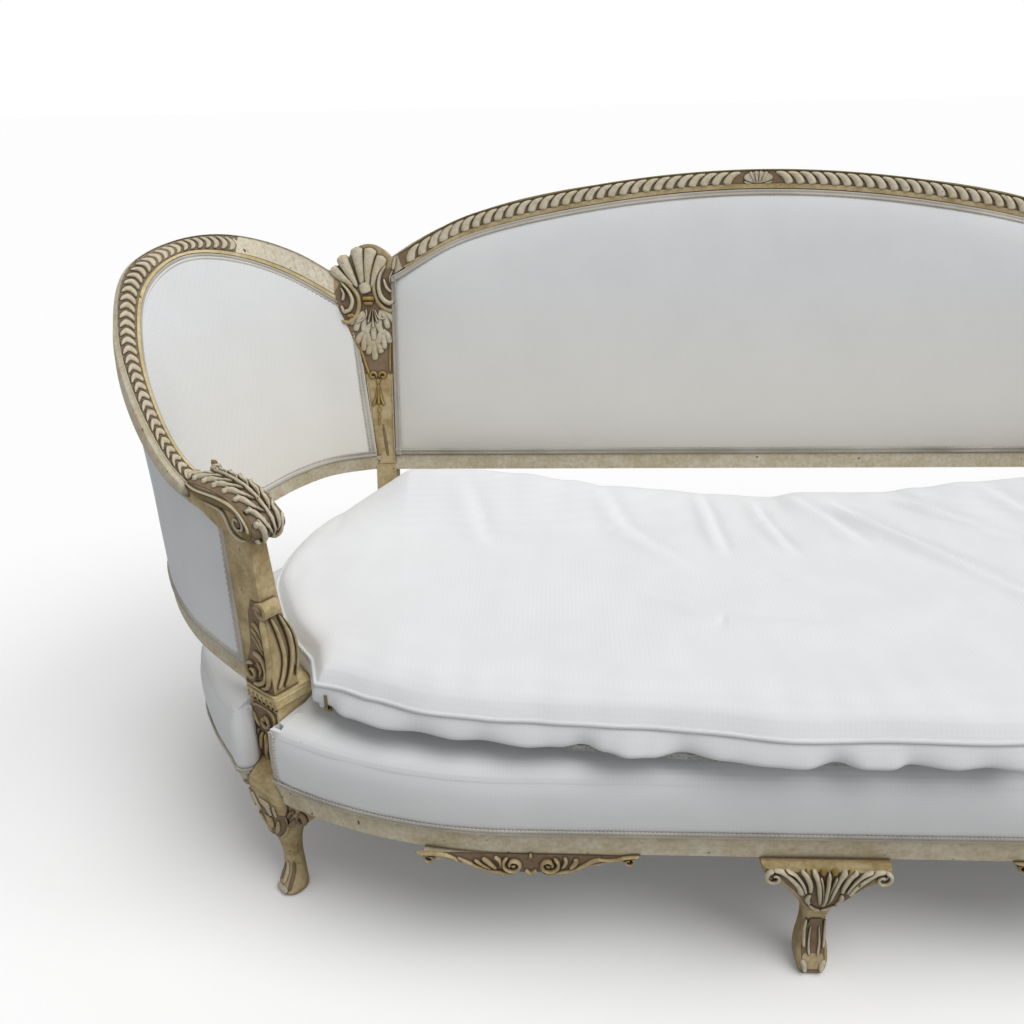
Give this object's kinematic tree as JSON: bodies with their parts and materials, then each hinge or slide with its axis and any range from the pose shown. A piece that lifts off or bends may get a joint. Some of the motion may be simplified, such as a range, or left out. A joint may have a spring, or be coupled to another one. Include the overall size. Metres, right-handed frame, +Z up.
{
  "type": "sofa",
  "caption": "Carved and painted show-wood sofa with a bowed upholstered back, rounded open wings on scrolled arm posts, a sprung seat and a loose zipped cushion.",
  "frame": {"origin": "on the floor, under the middle of the sofa's outer box", "axes": "+X along the sofa's width, towards the viewer's right when facing it; -Y to the front, where the sitter's legs go; +Z up"},
  "size_m": [2.2848, 0.9595, 1.0579],
  "materials": {
    "painted_wood": "carved beech with aged cream paint, gilt edges and dark wash in the hollows",
    "plain_beech": "plain sawn beech, hidden by the covers",
    "calico": "white calico, plain weave",
    "braid": "woven grey-white braid",
    "stuffing": "curled hair and cotton felt",
    "webbing": "jute webbing",
    "hessian": "hessian",
    "spring_steel": "coppered steel wire and screws",
    "cushion_cotton": "white cotton with piped seams",
    "cushion_filling": "feather and fibre filling",
    "zip_tape": "grey-green zip tape with teeth",
    "zip_metal": "dull plated zip slider and pull"
  },
  "bodies": {
    "sofa": {"front_seat_rail": "painted_wood", "end_seat_rail_left": "painted_wood", "end_seat_rail_right": "painted_wood", "front_corner_leg_left": "painted_wood", "front_corner_leg_right": "painted_wood", "front_centre_leg": "painted_wood", "rear_corner_leg_left": "painted_wood", "rear_corner_leg_right": "painted_wood", "rear_centre_leg": "painted_wood", "apron_ornaments": "painted_wood", "corner_block_left": "painted_wood", "corner_block_right": "painted_wood", "arm_post_left": "painted_wood", "arm_post_right": "painted_wood", "hand_scroll_left": "painted_wood", "hand_scroll_right": "painted_wood", "wing_top_rail_left": "painted_wood", "wing_top_rail_right": "painted_wood", "wing_bottom_rail_left": "painted_wood", "wing_bottom_rail_right": "painted_wood", "back_post_left": "painted_wood", "back_post_right": "painted_wood", "crest_rail": "painted_wood", "back_bottom_rail": "painted_wood", "side_seat_rail_left": "plain_beech", "side_seat_rail_right": "plain_beech", "back_seat_rail": "plain_beech", "seat_stretchers": "plain_beech", "corner_braces": "plain_beech", "frame_dowels": "plain_beech", "back_inner_cover": "calico", "back_outer_cover": "calico", "wing_pad_left": "calico", "wing_pad_right": "calico", "wing_outer_cover_left": "calico", "wing_outer_cover_right": "calico", "front_seat_panel": "calico", "side_seat_panel_left": "calico", "side_seat_panel_right": "calico", "back_seat_panel": "calico", "deck_cover": "calico", "wing_braid": "braid", "back_braid": "braid", "seat_braid": "braid", "back_stuffing": "stuffing", "seat_stuffing": "stuffing", "seat_edge_roll": "stuffing", "back_webbing": "webbing", "wing_webbing": "webbing", "seat_webbing": "webbing", "spring_cover": "hessian", "dust_cover": "hessian", "seat_springs": "spring_steel", "brace_screws": "spring_steel"},
    "seat_cushion": {"cushion_cover": "cushion_cotton", "cushion_filling": "cushion_filling", "cushion_piping": "cushion_cotton", "cushion_zip": "zip_tape"},
    "slider": {"zip_slider": "zip_metal"},
    "pull": {"zip_pull": "zip_metal"}
  },
  "joints": [
    {"name": "cushion_lift", "type": "slide", "parent": "sofa", "child": "seat_cushion", "axis": [0, 0, 1], "range_m": [0, 0.72]},
    {"name": "zip_travel", "type": "hinge", "parent": "seat_cushion", "child": "slider", "pos_m": [0, 1.9335, 0.394], "axis": [0, 0, 1], "range_deg": [0, 35]},
    {"name": "pull_swing", "type": "hinge", "parent": "slider", "child": "pull", "pos_m": [-0.72245, -0.35781, 0.3955], "axis": [0.9537, -0.3007, 0], "range_deg": [0, 120]}
  ]
}
